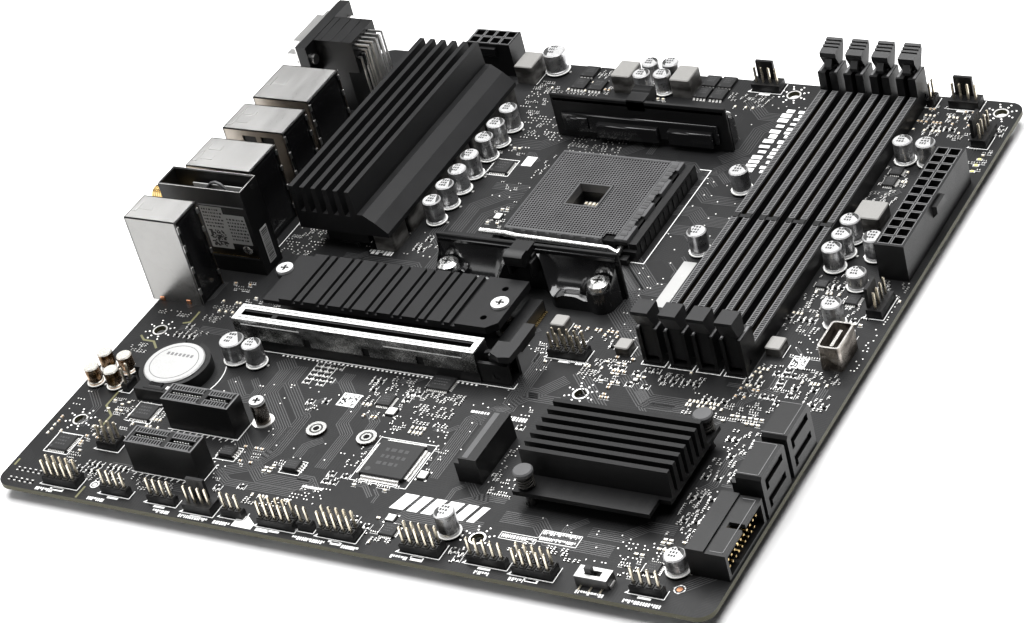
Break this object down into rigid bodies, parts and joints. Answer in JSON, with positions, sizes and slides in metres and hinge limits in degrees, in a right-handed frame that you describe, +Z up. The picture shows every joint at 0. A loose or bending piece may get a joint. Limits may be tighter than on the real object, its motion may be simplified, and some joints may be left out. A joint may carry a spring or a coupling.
{
  "type": "computer motherboard",
  "caption": "Black micro-ATX main board with processor socket, cooler brackets, latched memory slots, armoured card slot, finned heatsinks, pin headers and a row of rear ports.",
  "frame": {"origin": "centre of the datum mounting hole (the one in line with the long card slot, nearest the rear-port edge), on the board's underside", "axes": "+X along the board from the rear-port edge to the drive-port edge, +Y from the pin-header edge towards the processor-power edge, +Z up through the components"},
  "size_m": [0.2523, 0.2438, 0.0371],
  "materials": {
    "board_laminate": "matt black solder mask over glass-epoxy laminate, olive-brown cut edge",
    "black_steel": "black coated pressed steel",
    "cream_plastic": "dark grey moulded socket body",
    "grey_plastic": "dark grey moulding, pierced by a fine grid of contact holes",
    "lever_steel": "bright bent wire",
    "ceramic_chip": "tan ceramic chip parts with tinned ends",
    "glossy_black": "glossy black moulding",
    "screw_steel": "nickel-plated screw",
    "black_plastic": "satin black moulding",
    "gold_contact": "gold-plated contact",
    "armour_steel": "bright folded sheet",
    "black_anodised": "black anodised aluminium, satin",
    "nickel_brass": "nickel-plated turned brass",
    "chip_resin": "moulded chip package",
    "spring_steel": "coiled wire",
    "thermal_pad": "soft grey silicone",
    "ferrite": "pressed iron-powder block",
    "can_aluminium": "bright drawn can",
    "can_base": "pale insulating disc",
    "gold_can": "gold-coloured sleeve, pale top",
    "tinned_pin": "tinned square pin",
    "port_steel": "nickel-plated folded shell",
    "cell_steel": "stainless coin cell",
    "white_plastic": "white moulding",
    "jack_plastic": "coloured plastic sleeves",
    "radio_shield": "radio card with a metal lid and a printed label",
    "latch_plastic": "dark grey moulding"
  },
  "bodies": {
    "board": {"antenna_jacks": "gold_contact", "audio_capacitors": "gold_can", "audio_jack_rings": "jack_plastic", "battery_holder": "black_plastic", "bracket_screws": "screw_steel", "capacitor_bases": "can_base", "capacitor_cans": "can_aluminium", "chipset_heatsink": "black_anodised", "chipset_package": "chip_resin", "chokes": "ferrite", "dimm_contacts": "gold_contact", "dimm_slots": "black_plastic", "header_bases": "black_plastic", "header_pins": "gold_contact", "heatsink_screws": "screw_steel", "ic_packages": "chip_resin", "led_switch_body": "black_plastic", "m2_connectors": "black_plastic", "m2_heatsink": "black_anodised", "m2_standoffs": "nickel_brass", "pcb": "board_laminate", "pcie_contacts": "gold_contact", "pcie_x16_shield": "armour_steel", "pcie_x16_slot": "black_plastic", "pcie_x1_slots": "black_plastic", "power_headers": "black_plastic", "power_pins": "tinned_pin", "push_pin_springs": "spring_steel", "rear_port_inserts": "black_plastic", "rear_port_shells": "port_steel", "retention_brackets": "glossy_black", "sata_contacts": "black_plastic", "sata_ports": "black_plastic", "socket_backplate": "black_steel", "socket_base": "cream_plastic", "socket_capacitors": "ceramic_chip", "thermal_pads": "thermal_pad", "usb3_header": "black_plastic", "usb3_pins": "gold_contact", "usb_c_header": "port_steel", "vga_housing": "black_plastic", "vga_shell": "port_steel", "vrm_heatsink": "black_anodised", "wifi_bracket": "black_plastic", "wifi_module": "radio_shield"},
    "lever": {"socket_lever": "lever_steel"},
    "socket_top": {"socket_cover": "grey_plastic"},
    "card_latch": {"pcie_x16_latch": "black_plastic"},
    "lighting_slider": {"led_switch_slider": "white_plastic"},
    "cell": {"coin_cell": "cell_steel"},
    "left_pin": {"push_pin_left": "black_plastic"},
    "right_pin": {"push_pin_right": "black_plastic"},
    "memory_latch_1_near": {"dimm_latch_1_near": "latch_plastic"},
    "memory_latch_1_far": {"dimm_latch_1_far": "latch_plastic"},
    "memory_latch_2_near": {"dimm_latch_2_near": "latch_plastic"},
    "memory_latch_2_far": {"dimm_latch_2_far": "latch_plastic"},
    "memory_latch_3_near": {"dimm_latch_3_near": "latch_plastic"},
    "memory_latch_3_far": {"dimm_latch_3_far": "latch_plastic"},
    "memory_latch_4_near": {"dimm_latch_4_near": "latch_plastic"},
    "memory_latch_4_far": {"dimm_latch_4_far": "latch_plastic"}
  },
  "joints": [
    {"name": "lever_turn", "type": "hinge", "parent": "board", "child": "lever", "pos_m": [0.13734, 0.08526, 0.00515], "axis": [0, 1, 0], "range_deg": [0, 95]},
    {"name": "cover_slide", "type": "slide", "parent": "board", "child": "socket_top", "axis": [-1, 0, 0], "range_m": [0, 0.0012]},
    {"name": "memory_latch_1_near_turn", "type": "hinge", "parent": "board", "child": "memory_latch_1_near", "pos_m": [0.17094, 0.02046, 0.0048], "axis": [1, 0, 0], "range_deg": [0, 25]},
    {"name": "memory_latch_1_far_turn", "type": "hinge", "parent": "board", "child": "memory_latch_1_far", "pos_m": [0.17094, 0.15956, 0.0048], "axis": [-1, 0, 0], "range_deg": [0, 25]},
    {"name": "memory_latch_2_near_turn", "type": "hinge", "parent": "board", "child": "memory_latch_2_near", "pos_m": [0.18004, 0.02046, 0.0048], "axis": [1, 0, 0], "range_deg": [0, 25]},
    {"name": "memory_latch_2_far_turn", "type": "hinge", "parent": "board", "child": "memory_latch_2_far", "pos_m": [0.18004, 0.15956, 0.0048], "axis": [-1, 0, 0], "range_deg": [0, 25]},
    {"name": "memory_latch_3_near_turn", "type": "hinge", "parent": "board", "child": "memory_latch_3_near", "pos_m": [0.18914, 0.02046, 0.0048], "axis": [1, 0, 0], "range_deg": [0, 25]},
    {"name": "memory_latch_3_far_turn", "type": "hinge", "parent": "board", "child": "memory_latch_3_far", "pos_m": [0.18914, 0.15956, 0.0048], "axis": [-1, 0, 0], "range_deg": [0, 25]},
    {"name": "memory_latch_4_near_turn", "type": "hinge", "parent": "board", "child": "memory_latch_4_near", "pos_m": [0.19824, 0.02046, 0.0048], "axis": [1, 0, 0], "range_deg": [0, 25]},
    {"name": "memory_latch_4_far_turn", "type": "hinge", "parent": "board", "child": "memory_latch_4_far", "pos_m": [0.19824, 0.15956, 0.0048], "axis": [-1, 0, 0], "range_deg": [0, 25]},
    {"name": "card_latch_turn", "type": "hinge", "parent": "board", "child": "card_latch", "pos_m": [0.12784, 0.00201, 0.0048], "axis": [0, 1, 0], "range_deg": [0, 20]},
    {"name": "lighting_slide", "type": "slide", "parent": "board", "child": "lighting_slider", "axis": [1, 0, 0], "range_m": [0, 0.0022]},
    {"name": "cell_lift", "type": "slide", "parent": "board", "child": "cell", "axis": [0, 0, 1], "range_m": [0, 0.012]},
    {"name": "left_pin_press", "type": "slide", "parent": "board", "child": "left_pin", "axis": [0, 0, -1], "range_m": [0, 0.0015], "deforming": ["push_pin_springs"]},
    {"name": "right_pin_press", "type": "slide", "parent": "board", "child": "right_pin", "axis": [0, 0, -1], "range_m": [0, 0.0015], "deforming": ["push_pin_springs"]}
  ],
  "couplings": [
    {"joint": "cover_slide", "follows": "lever_turn", "m_per_rad": 0.00072366}
  ]
}
